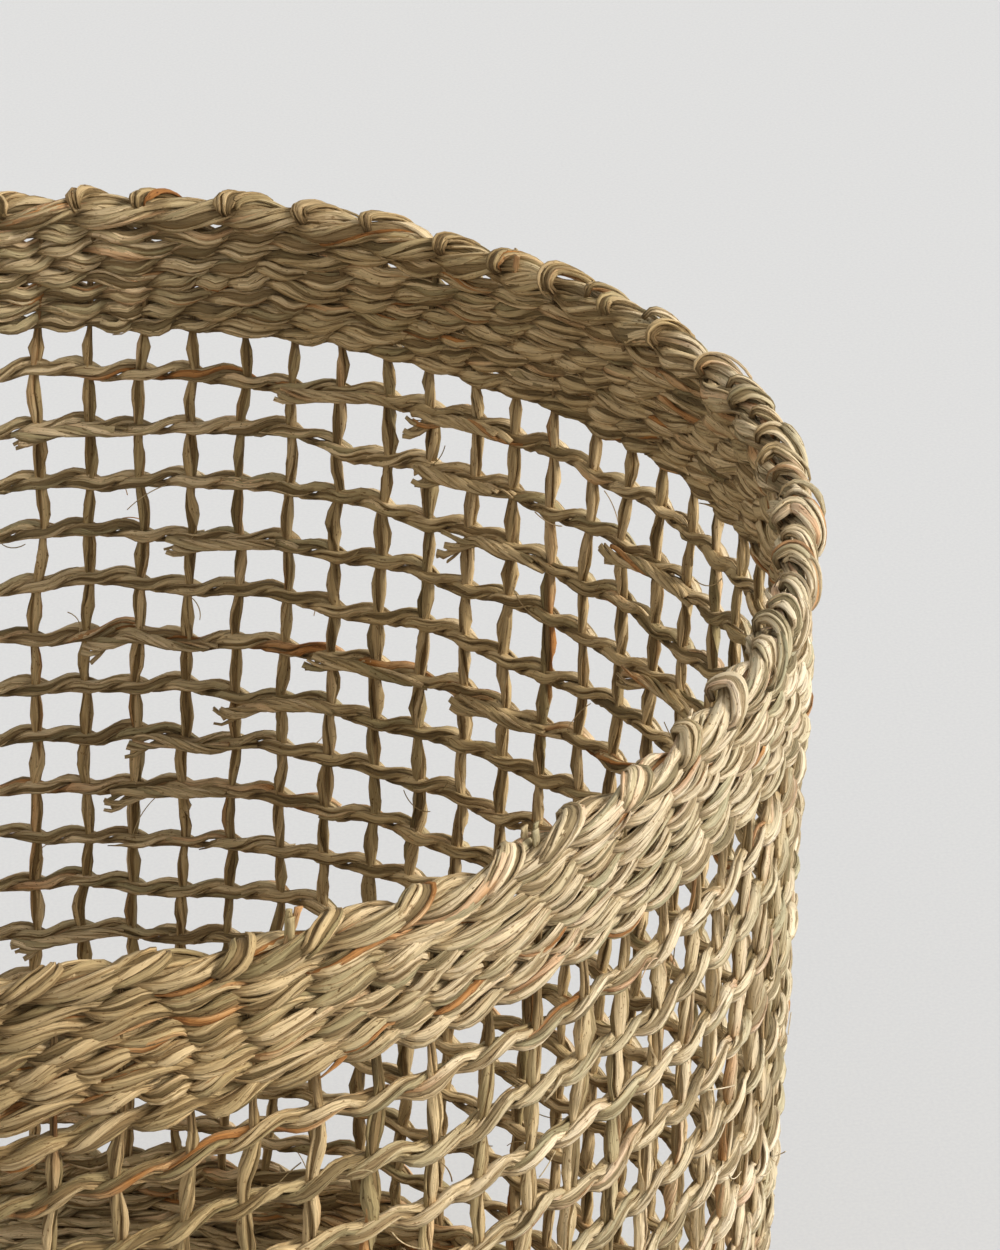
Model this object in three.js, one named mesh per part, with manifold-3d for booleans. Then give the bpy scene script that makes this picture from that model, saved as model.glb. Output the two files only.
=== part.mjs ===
// Round seagrass basket with an open twined wall, a dense rim band and a dense foot.
// Millimetres, +Z up, front at -Y, standing on z = 0 and centred on the origin.
import * as THREE from 'three';
import { mergeVertices } from 'three/addons/utils/BufferGeometryUtils.js';
import Module from 'manifold-3d';

// Overall shape
const HEIGHT = 322; // floor to the crest of the rim border
const STAKE_CIRCLE_RADIUS = 178.5; // basket axis to the middle of a stake
const WALL_LEAN = 16; // how far the rim stands toward +X of the foot
const RIM_RISE = 7.7; // how much higher the rim is at +X than on the axis
const RIM_DRAW_IN = 4; // how far the rim band leans in toward the basket's axis
const CLEARANCE = 0.3; // gap between touching pieces
const WELD_DISTANCE = 0.001; // corners nearer than this are one corner

// Stakes: three stand on each flat facet of the wall, six belong to one group
const FACETS = 28;
const STAKES_PER_FACET = 3;
const FACETS_PER_GROUP = 2;
const STAKE_WIDTH = 3.4;
const STAKE_THICKNESS = 3;
const STAKE_PHASE = 0.21; // place of the first stake past the front, in stake pitches
const STAKE_FOOT = 0.8; // floor to the lower end of a stake

// Rows of twined strands: one strand outside the stakes, one inside, crossed between them
const STRAND_THICKNESS = 2.8;
const OPEN_ROWS = 16;
const OPEN_STRAND_HEIGHT = 4;
const OPEN_GAP_AT_BANDS = 9; // clear height between a dense band and the open row next to it
const RIM_ROWS = 7;
const RIM_ROW_PITCH = 4.4;
const FOOT_ROWS = 6;
const FOOT_ROW_PITCH = 4.6;
const CROSSINGS_PER_ROW = 2;
const CROSSING_WIDTH = 4.5;
const CROSSING_SHOULDER = 0.8; // how much lower than its strands a crossing is at each side
const CROSSING_ROOT = 0.6; // how deep a crossing runs into each strand

// Rim border: the stakes' ends rolled along the rim, with loops over the roll
const ROLL_RADIUS = 4.6;
const ROLL_SIDES = 6;
const LOOP_WIDTH = 4.6;
const LOOP_THICKNESS = 2;
const LOOP_DROP_ANGLE = 0.45; // radians below the roll's middle where a loop tucks in
const LOOP_STEPS = 4;
const LOOPS_PER_GROUP = 4;
const LOOP_PHASE = 0.25; // start of a group to the middle of its first loop, in stake pitches

// Base: spokes held between an underside mat and an upper mat
const UNDER_MAT_THICKNESS = 2.4;
const UPPER_MAT_THICKNESS = 2.6;
const UPPER_MAT_ROUNDS = 5;
const ROUND_RELIEF = 0.9; // depth of the valley between two rounds of the upper mat
const SPOKE_WIDTH = 7; // at the wall
const SPOKE_HUB_WIDTH = 5.6;
const SPOKE_THICKNESS = 2.2;
const HUB_RADIUS = 15.6;

// Sizes worked out from the values above
const STAKES = FACETS * STAKES_PER_FACET;
const GROUPS = FACETS / FACETS_PER_GROUP;
const STAKES_PER_GROUP = STAKES_PER_FACET * FACETS_PER_GROUP;
const FACET_ANGLE = (2 * Math.PI) / FACETS;
const STAKE_ANGLE = (2 * Math.PI) / STAKES;
const GROUP_ANGLE = FACET_ANGLE * FACETS_PER_GROUP;
const FIRST_FACET_ANGLE = (STAKE_PHASE - 0.5) * STAKE_ANGLE;
const FACET_SHARE = Math.cos(FACET_ANGLE / 2); // middle of a facet against its corners
const STRAND_SEAT = STAKE_THICKNESS / 2 + CLEARANCE;
const WALL_INNER_RADIUS = STAKE_CIRCLE_RADIUS - STRAND_SEAT - STRAND_THICKNESS;
const LOOP_REACH = ROLL_RADIUS + LOOP_THICKNESS;
const ROLL_HEIGHT = HEIGHT - LOOP_REACH;
const ROLL_FLAT = ROLL_RADIUS * Math.cos(Math.PI / ROLL_SIDES); // middle of the roll to its flat sides
const RIM_BAND_TOP = ROLL_HEIGHT - ROLL_FLAT - CLEARANCE;
const RIM_BAND_BOTTOM = RIM_BAND_TOP - RIM_ROWS * RIM_ROW_PITCH;
const FOOT_TOP = FOOT_ROWS * FOOT_ROW_PITCH - CLEARANCE;
const FIRST_OPEN_ROW_BOTTOM = RIM_BAND_BOTTOM - OPEN_GAP_AT_BANDS - OPEN_STRAND_HEIGHT;
const LAST_OPEN_ROW_BOTTOM = FOOT_TOP + OPEN_GAP_AT_BANDS;
const OPEN_ROW_PITCH = (FIRST_OPEN_ROW_BOTTOM - LAST_OPEN_ROW_BOTTOM) / (OPEN_ROWS - 1);
const SPOKE_BOTTOM = UNDER_MAT_THICKNESS + CLEARANCE;
const UPPER_MAT_BOTTOM = SPOKE_BOTTOM + SPOKE_THICKNESS + CLEARANCE;
const BASE_RADIUS = WALL_INNER_RADIUS - CLEARANCE;

const wasm = await Module();
wasm.setup();

// The base lies in shade and is browner than the sun-bleached wall.
function seagrass(color) {
  return new THREE.MeshStandardMaterial({ color, roughness: 0.85, metalness: 0 });
}

const materials = {
  stake: seagrass(0xb9a77c),
  openRow: seagrass(0xcdbb8f),
  rimRow: seagrass(0xc8b487),
  footRow: seagrass(0x9c8a5e),
  base: seagrass(0x8a7549),
  spoke: seagrass(0x7d6a42),
};

// The wall as woven by hand. It leans and its rim rises, both growing from nothing at the floor,
// and the rim band leans in.
function handWoven(geometry) {
  const points = geometry.attributes.position;
  for (let i = 0; i < points.count; i++) {
    const z = points.getZ(i);
    const bandShare = (z - RIM_BAND_BOTTOM) / (ROLL_HEIGHT - RIM_BAND_BOTTOM);
    const radius = Math.hypot(points.getX(i), points.getY(i));
    const drawnIn = 1 - (RIM_DRAW_IN * THREE.MathUtils.clamp(bandShare, 0, 1)) / Math.max(radius, 1);
    const x = points.getX(i) * drawnIn;
    const share = z / HEIGHT;
    points.setXYZ(
      i,
      x + WALL_LEAN * share,
      points.getY(i) * drawnIn,
      z + RIM_RISE * share * (x / STAKE_CIRCLE_RADIUS),
    );
  }
  return geometry;
}

// A closed mesh as a solid that can be joined to others. Faces with no area are left out.
function solidFrom(geometry) {
  const plain = handWoven(geometry.clone());
  plain.deleteAttribute('normal');
  plain.deleteAttribute('uv');
  const welded = mergeVertices(plain, WELD_DISTANCE);
  const corners = welded.index.array;
  const kept = [];
  for (let i = 0; i < corners.length; i += 3) {
    const [a, b, c] = corners.slice(i, i + 3);
    if (a !== b && b !== c && c !== a) kept.push(a, b, c);
  }
  return new wasm.Manifold(
    new wasm.Mesh({
      numProp: 3,
      vertProperties: welded.attributes.position.array,
      triVerts: new Uint32Array(kept),
    }),
  );
}

function geometryFrom(solid) {
  const mesh = solid.getMesh();
  const geometry = new THREE.BufferGeometry();
  geometry.setAttribute('position', new THREE.BufferAttribute(mesh.vertProperties, 3));
  geometry.setIndex(new THREE.BufferAttribute(mesh.triVerts, 1));
  return geometry;
}

function join(solids) {
  return solids.reduce((whole, solid) => whole.add(solid));
}

const basket = new THREE.Group();

function addPiece(name, solid, material) {
  const geometry = geometryFrom(solid).toNonIndexed();
  geometry.computeVertexNormals();
  const mesh = new THREE.Mesh(geometry, material.clone());
  mesh.name = name;
  basket.add(mesh);
}

function numbered(name, index) {
  return `${name}_${String(index + 1).padStart(2, '0')}`;
}

// A point of the faceted wall: angle from -Y toward +X, radius measured at the facets' corners.
function wallPoint(angle, radius, z) {
  const pastCorner = (angle - FIRST_FACET_ANGLE) / FACET_ANGLE;
  const fromMiddle = (pastCorner - Math.floor(pastCorner) - 0.5) * FACET_ANGLE;
  const onFacet = (radius * FACET_SHARE) / Math.cos(fromMiddle);
  return new THREE.Vector3(onFacet * Math.sin(angle), -onFacet * Math.cos(angle), z);
}

// A closed section in (radius, height) turned around the basket's axis.
function turned(section) {
  const points = section.map(([radius, height]) => new THREE.Vector2(radius, height));
  const geometry = new THREE.LatheGeometry(points, FACETS, FIRST_FACET_ANGLE);
  return solidFrom(geometry.rotateX(Math.PI / 2));
}

// One strand of a row: flat against the stakes, with its ridge away from them.
function strandRing(seatRadius, ridgeRadius, bottom, height) {
  const corners = [
    [seatRadius, bottom],
    [ridgeRadius, bottom + height / 2],
    [seatRadius, bottom + height],
  ];
  const outward = ridgeRadius > seatRadius;
  return turned(outward ? [...corners, corners[0]] : [...corners.reverse(), corners[0]]);
}

// Where the two strands of a row cross from one side of the wall to the other.
function crossing(angle, bottom, height) {
  const depth = 2 * (STRAND_SEAT + CROSSING_ROOT);
  const block = new THREE.BoxGeometry(CROSSING_WIDTH, depth, height - 2 * CROSSING_SHOULDER);
  const middle = wallPoint(angle, STAKE_CIRCLE_RADIUS, bottom + height / 2);
  block.rotateZ(angle);
  block.translate(middle.x, middle.y, middle.z);
  return solidFrom(block);
}

// A crossing lies between the first and second stake of its facet, further round in each row.
function crossingAngle(row, index) {
  const step = Math.floor(FACETS / CROSSINGS_PER_ROW);
  const facet = (index * step + row) % FACETS;
  return FIRST_FACET_ANGLE + facet * FACET_ANGLE + STAKE_ANGLE;
}

function twinedRow(row, bottom, height) {
  const outerSeat = STAKE_CIRCLE_RADIUS + STRAND_SEAT;
  const innerSeat = STAKE_CIRCLE_RADIUS - STRAND_SEAT;
  const strands = [
    strandRing(outerSeat, outerSeat + STRAND_THICKNESS, bottom, height),
    strandRing(innerSeat, innerSeat - STRAND_THICKNESS, bottom, height),
  ];
  for (let i = 0; i < CROSSINGS_PER_ROW; i++) {
    strands.push(crossing(crossingAngle(row, i), bottom, height));
  }
  return join(strands);
}

// One stake, from just above the floor into the rolled border. It can bend at the rim band.
function stake(index) {
  const facet = Math.floor(index / STAKES_PER_FACET);
  const place = (index % STAKES_PER_FACET) + 0.5 - STAKES_PER_FACET / 2;
  const facetWidth = 2 * STAKE_CIRCLE_RADIUS * Math.sin(FACET_ANGLE / 2);
  const length = ROLL_HEIGHT - STAKE_FOOT;
  const geometry = new THREE.BoxGeometry(STAKE_WIDTH, STAKE_THICKNESS, length, 1, 1, 2);
  const points = geometry.attributes.position;
  for (let i = 0; i < points.count; i++) {
    const atBend = points.getZ(i) === 0;
    if (atBend) points.setZ(i, RIM_BAND_BOTTOM - STAKE_FOOT - length / 2);
  }
  geometry.translate(
    (place * facetWidth) / STAKES_PER_FACET,
    -STAKE_CIRCLE_RADIUS * FACET_SHARE,
    STAKE_FOOT + length / 2,
  );
  geometry.rotateZ(FIRST_FACET_ANGLE + (facet + 0.5) * FACET_ANGLE);
  return solidFrom(geometry);
}

// The stretch of the rolled border that a group of stakes folds into.
function borderRoll(group) {
  const gapAngle = CLEARANCE / STAKE_CIRCLE_RADIUS;
  const start = FIRST_FACET_ANGLE + group * GROUP_ANGLE + gapAngle / 2;
  const extrudePath = new THREE.Curve();
  extrudePath.getPoint = (share, target = new THREE.Vector3()) => {
    const angle = start + share * (GROUP_ANGLE - gapAngle);
    const x = STAKE_CIRCLE_RADIUS * Math.sin(angle);
    const y = -STAKE_CIRCLE_RADIUS * Math.cos(angle);
    return target.set(x, y, ROLL_HEIGHT);
  };
  const corners = [];
  for (let i = 0; i < ROLL_SIDES; i++) {
    const turn = ((i + 0.5) * 2 * Math.PI) / ROLL_SIDES;
    corners.push(new THREE.Vector2(ROLL_RADIUS * Math.cos(turn), ROLL_RADIUS * Math.sin(turn)));
  }
  const section = new THREE.Shape(corners);
  return solidFrom(
    new THREE.ExtrudeGeometry(section, { steps: FACETS_PER_GROUP, extrudePath }),
  );
}

// A flat loop of stake ends over the roll, tucked in at both sides.
function borderLoop(angle) {
  const outline = new THREE.Shape();
  outline.absarc(0, 0, LOOP_REACH, -LOOP_DROP_ANGLE, Math.PI + LOOP_DROP_ANGLE, false);
  const loop = new THREE.ExtrudeGeometry(outline, {
    depth: LOOP_WIDTH,
    bevelEnabled: false,
    curveSegments: LOOP_STEPS,
  });
  const middle = wallPoint(angle, STAKE_CIRCLE_RADIUS, ROLL_HEIGHT);
  loop.translate(0, 0, -LOOP_WIDTH / 2);
  loop.rotateX(Math.PI / 2);
  loop.rotateZ(angle - Math.PI / 2);
  loop.translate(middle.x, middle.y, middle.z);
  return solidFrom(loop);
}

function stakeGroup(group) {
  const solids = [borderRoll(group)];
  for (let i = 0; i < STAKES_PER_GROUP; i++) {
    solids.push(stake(group * STAKES_PER_GROUP + i));
  }
  for (let i = 0; i < LOOPS_PER_GROUP; i++) {
    const pitches = (i * STAKES_PER_GROUP) / LOOPS_PER_GROUP + LOOP_PHASE;
    solids.push(borderLoop(FIRST_FACET_ANGLE + group * GROUP_ANGLE + pitches * STAKE_ANGLE));
  }
  return join(solids);
}

function underMat() {
  return turned([
    [0, 0],
    [BASE_RADIUS, 0],
    [BASE_RADIUS, UNDER_MAT_THICKNESS],
    [0, UNDER_MAT_THICKNESS],
  ]);
}

// The upper mat's rounds are low ridges, with a hub that reaches down between the spokes' ends.
function upperMat() {
  const top = UPPER_MAT_BOTTOM + UPPER_MAT_THICKNESS;
  const roundWidth = BASE_RADIUS / UPPER_MAT_ROUNDS;
  const section = [
    [0, SPOKE_BOTTOM],
    [HUB_RADIUS, SPOKE_BOTTOM],
    [HUB_RADIUS, UPPER_MAT_BOTTOM],
    [BASE_RADIUS, UPPER_MAT_BOTTOM],
  ];
  for (let i = UPPER_MAT_ROUNDS; i > 0; i--) {
    section.push([i * roundWidth, top - ROUND_RELIEF]);
    section.push([(i - 0.5) * roundWidth, top]);
  }
  section.push([0, top - ROUND_RELIEF]);
  return turned(section);
}

// A spoke widens from the hub to the foot rows, under the middle of its group of stakes.
function spoke(group) {
  const start = HUB_RADIUS + CLEARANCE;
  const end = BASE_RADIUS * FACET_SHARE;
  const outline = new THREE.Shape([
    new THREE.Vector2(-SPOKE_HUB_WIDTH / 2, -start),
    new THREE.Vector2(-SPOKE_WIDTH / 2, -end),
    new THREE.Vector2(SPOKE_WIDTH / 2, -end),
    new THREE.Vector2(SPOKE_HUB_WIDTH / 2, -start),
  ]);
  const geometry = new THREE.ExtrudeGeometry(outline, {
    depth: SPOKE_THICKNESS,
    bevelEnabled: false,
  });
  geometry.translate(0, 0, SPOKE_BOTTOM);
  geometry.rotateZ(FIRST_FACET_ANGLE + (group + 0.5) * GROUP_ANGLE);
  return solidFrom(geometry);
}

// Base
addPiece('base_underside_mat', underMat(), materials.base);
addPiece('base_upper_mat', upperMat(), materials.base);
for (let group = 0; group < GROUPS; group++) {
  addPiece(numbered('base_spoke', group), spoke(group), materials.spoke);
}

// Dense foot, from the floor up
for (let row = 0; row < FOOT_ROWS; row++) {
  const bottom = row * FOOT_ROW_PITCH;
  const solid = twinedRow(row, bottom, FOOT_ROW_PITCH - CLEARANCE);
  addPiece(numbered('foot_row', row), solid, materials.footRow);
}

// Open rows, from the rim band down
for (let row = 0; row < OPEN_ROWS; row++) {
  const bottom = FIRST_OPEN_ROW_BOTTOM - row * OPEN_ROW_PITCH;
  const solid = twinedRow(row, bottom, OPEN_STRAND_HEIGHT);
  addPiece(numbered('open_row', row), solid, materials.openRow);
}

// Dense rim band, from the border down
for (let row = 0; row < RIM_ROWS; row++) {
  const bottom = RIM_BAND_TOP - (row + 1) * RIM_ROW_PITCH + CLEARANCE;
  const solid = twinedRow(row, bottom, RIM_ROW_PITCH - CLEARANCE);
  addPiece(numbered('rim_row', row), solid, materials.rimRow);
}

// Stakes and the border that they fold into
for (let group = 0; group < GROUPS; group++) {
  addPiece(numbered('stakes_and_border', group), stakeGroup(group), materials.stake);
}

// The leaning basket stands with the middle of its bounding box over the origin.
const bounds = new THREE.Box3().setFromObject(basket);
const middle = bounds.getCenter(new THREE.Vector3());
basket.children.forEach((piece) => piece.position.set(-middle.x, -middle.y, 0));

export default basket;
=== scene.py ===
"""Looks for the seagrass basket: every strand is a bundle of flat, dried blades of grass.

Lengths are in millimetres until placed() turns them into metres of the frame. Angles go round the
basket from the front (-Y) toward the right (+X). They are radians, except the degrees that hump()
and the lists of single places take.
"""

import math

import bpy
import numpy as np
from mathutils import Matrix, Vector


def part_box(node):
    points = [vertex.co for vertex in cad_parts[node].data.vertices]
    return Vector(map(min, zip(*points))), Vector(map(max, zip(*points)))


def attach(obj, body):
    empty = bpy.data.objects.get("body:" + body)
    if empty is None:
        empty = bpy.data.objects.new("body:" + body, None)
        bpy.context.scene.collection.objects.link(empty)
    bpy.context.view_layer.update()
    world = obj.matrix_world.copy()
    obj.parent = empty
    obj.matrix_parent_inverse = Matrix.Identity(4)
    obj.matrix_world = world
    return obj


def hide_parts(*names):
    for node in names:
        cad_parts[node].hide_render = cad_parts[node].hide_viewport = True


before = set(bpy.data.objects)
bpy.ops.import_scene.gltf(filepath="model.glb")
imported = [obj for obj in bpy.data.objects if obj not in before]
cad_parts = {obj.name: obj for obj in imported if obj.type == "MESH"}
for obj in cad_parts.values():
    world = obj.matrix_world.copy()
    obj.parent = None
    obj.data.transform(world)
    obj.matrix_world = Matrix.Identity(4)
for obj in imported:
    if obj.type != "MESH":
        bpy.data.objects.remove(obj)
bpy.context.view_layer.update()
rng = np.random.default_rng(20)
MM = 0.001  # in metres
FULL_TURN = 2 * math.pi

# Sizes of the basket, as in the solids
HEIGHT = 322
STAKE_CIRCLE_RADIUS = 178.5
WALL_RADIUS = 178.0  # middle of a stake, between the solids' corners and facets
WALL_LEAN = 16
RIM_RISE = 7.7
RIM_DRAW_IN = 4
STAKES = 84
STAKE_ANGLE = FULL_TURN / STAKES
STAKE_PHASE = 0.21
STAKE_PITCH = STAKE_ANGLE * WALL_RADIUS
GROUPS = 14
STAKES_PER_GROUP = STAKES // GROUPS
LOOPS_PER_GROUP = 4
STAKES_PER_LOOP = STAKES_PER_GROUP / LOOPS_PER_GROUP
LOOP_PHASE = 0.25
ROLL_HEIGHT = 315.4
RIM_BAND_TOP = 311.1
RIM_ROWS, RIM_ROW_PITCH = 7, 4.4
RIM_BAND_BOTTOM = RIM_BAND_TOP - RIM_ROWS * RIM_ROW_PITCH
OPEN_ROWS, OPEN_ROW_PITCH = 16, 15.4
FIRST_OPEN_ROW = 269.3
FOOT_ROWS, FOOT_ROW_PITCH = 6, 4.6
FOOT_TOP = FOOT_ROWS * FOOT_ROW_PITCH
BASE_RADIUS, BASE_ROUND_PITCH = 172.5, 4.7
UNDERSIDE_HEIGHT, SPOKE_HEIGHT, UPPER_MAT_HEIGHT = 1.3, 3.8, 6.6
MAT_OFF_CENTRE = 0.06  # how far right of the basket's axis the middle of the mat's box is

mat_low, mat_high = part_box("base_underside_mat")
BASE_X = (mat_low.x + mat_high.x) * 500 - MAT_OFF_CENTRE  # half the sum, in millimetres
open_row_heights = [FIRST_OPEN_ROW - i * OPEN_ROW_PITCH for i in range(OPEN_ROWS)]

# Blades of grass
SECTION = 6  # points round a blade
WIDTH_NOISE, MOST_NOISE = 0.1, 1.5
PLAIN_FOLD = 0.12
THIN_BLADE = 0.35  # half the thickness of a single loose blade
# Highest value of the bleaching and painted shade that darken a blade
MOST_AGE_AND_SHADE = 1.5
CORE_EDGE = 0.93  # "Edge" of a core, painted dark as the shade between blades, where 1 is the painted shade at a blade's own edge
# How blades deep in the weave are darkened as painted shade
LEAST_TUCKED, TUCKED_EDGE, TUCKED_MORE = 0.02, 0.8, 0.2

# The flat map, where blades lie end to end in lanes
MAP_GAP = 1.0
SIDES_FROM, SIDES_SHARE = 0.04, 0.82
CAPS_FROM, CAPS_TO, CAP_WIDTH = 0.9, 0.97, 0.28
CAP_SLIPS = (0.0, 0.3, -0.6, -0.3)

# Parts of the wall, each the middle and half the width of a hump, in degrees
RIM_BACK = (170, 85)
FRONT_DIP_PLACE = (-5, 14)
LOW_FRONT = (-1, 15)  # where the lowest rim row hangs as a short extra row
RIGHT_SIDE = (105, 75)
FRONT_RIGHT_RIM = (50, 90)
# Painted light and shade in the grass's colour: painted shade outside away from SUNNY_SIDE and at
# DARK_FRONT, painted shade inside at DARK_INSIDE and painted light inside at LIGHT_INSIDE
SUNNY_SIDE = (75, 75)
DARK_FRONT = (-15, 50)
DARK_INSIDE = (120, 45)
LIGHT_INSIDE = (195, 65)
STRAIGHT_STRANDS = (108, 75)
SLIM_STRANDS = (48, 45)
CURLY_RIM = (85, 45)
DULL_RIM = (170, 90)


# Small tools

def unit(vectors):
    return vectors / np.maximum(np.linalg.norm(vectors, axis=-1, keepdims=True), 1e-9)


def smooth(x, low, high):
    """0 below low, 1 above high, and a smooth rise between."""
    t = np.clip((x - low) / (high - low), 0, 1)
    return t * t * (3 - 2 * t)


def wander(slowest, fastest, size, count=7):
    """A smooth random curve of an angle, periodic over a full turn."""
    turns = rng.integers(slowest, fastest + 1, count)
    phases = rng.uniform(0, FULL_TURN, count)
    scale = size * math.sqrt(2 / count)

    def curve(angle):
        waves = np.sin(np.multiply.outer(np.asarray(angle, float), turns) + phases)
        return waves.sum(-1) * scale

    return curve


def drift(wavelength, size, count=5):
    """A smooth random curve of a length."""
    rates = FULL_TURN / (wavelength * rng.uniform(0.6, 1.8, count))
    phases = rng.uniform(0, FULL_TURN, count)
    scale = size * math.sqrt(2 / count)

    def curve(length):
        waves = np.sin(np.multiply.outer(np.asarray(length, float), rates) + phases)
        return waves.sum(-1) * scale

    return curve


def either_way():
    """-1 or 1."""
    return rng.choice((-1, 1))


def around(angle, radius, height):
    """Points round the basket's axis."""
    angle, radius, height = np.broadcast_arrays(angle, radius, height)
    return np.stack([radius * np.sin(angle), -radius * np.cos(angle), height], -1)


def outward(angle):
    return around(angle, 1.0, 0.0)


def upward(count):
    return np.tile([0.0, 0.0, 1.0], (count, 1))


def placed(points):
    """Points of an upright basket, moved to the leaning one, in metres."""
    x, y, z = points[..., 0], points[..., 1], points[..., 2]
    share = z / HEIGHT
    lean = x + WALL_LEAN * share + BASE_X
    rise = z + RIM_RISE * share * x / STAKE_CIRCLE_RADIUS
    lowest = 0.05  # just clear of the floor
    return np.stack([lean, y, np.maximum(rise, lowest)], -1) * MM


def hump(angle, middle, half_width):
    """1 at the middle, in degrees, falling smoothly to 0 at half_width from it."""
    apart = (np.degrees(angle) - middle + 180) % 360 - 180
    return 1 - smooth(np.abs(apart), 0, half_width)


# The wall isn't a perfect cylinder: hand weaving leaves it slightly uneven.
wall_bulge = wander(2, 9, 0.45)
rim_wobble = wander(5, 30, 0.7)


def rim_wave(angle):
    """How far the rim stands above or below a level one."""
    return rim_wobble(angle) + hump(angle, *RIM_BACK)


def front_rise(angle):
    """The rows below the border climb a little toward the right of the front."""
    rise, dip = 6.0, 3.0
    apart = (np.degrees(angle) + 180) % 360 - 180
    risen = rise * smooth(apart, 1, 18) * (1 - smooth(apart, 56, 84))
    return risen - dip * hump(angle, *FRONT_DIP_PLACE)


def wall_radius(angle, height):
    """Radius to the stakes' middle, which draws in at the rim band and higher up at the right."""
    bow, draw_in = 0.9, 3.0
    share = np.clip((height - RIM_BAND_BOTTOM) / (ROLL_HEIGHT - RIM_BAND_BOTTOM), 0, 1)
    uneven = wall_bulge(angle) * smooth(height, 0, 120)
    side = hump(angle, *RIGHT_SIDE) * (bow - draw_in * smooth(height, 150, 290))
    return WALL_RADIUS - RIM_DRAW_IN * share + uneven + side


def bleach_and_shade_at(points):
    """0 where the sun has bleached the grass, 1 inside the wall, where it is partly less bleached
    and partly painted shade.

    It goes on past 1 as painted shade at the front left and inside at the right, and is lower
    inside at the back left as painted light; outside, away from the sunny side, it rises as painted
    shade.
    """
    radius = np.hypot(points[..., 0], points[..., 1])
    angle = np.arctan2(points[..., 0], -points[..., 1])
    height = points[..., 2]
    depth = wall_radius(angle, height) - radius
    bleached_rim = (0.35 + 0.4 * hump(angle, *FRONT_RIGHT_RIM)) * smooth(height, 306, 318)
    # Inside the wall the grass is browner, partly as it is less bleached and partly as painted
    # shade.
    inside = smooth(depth, -1.6, 1.6) * (1 - bleached_rim)
    # Painted shade inside at the right and painted light inside at the back left; outside, painted
    # shade away from the sunny side, most at the front left.
    inside_age_and_shade = 1 + 0.2 * hump(angle, *DARK_INSIDE) - 0.35 * hump(angle, *LIGHT_INSIDE)
    outside_shade = 0.75 * (1 - hump(angle, *SUNNY_SIDE)) + 0.75 * hump(angle, *DARK_FRONT)
    return inside * inside_age_and_shade + outside_shade * (1 - inside)


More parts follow.
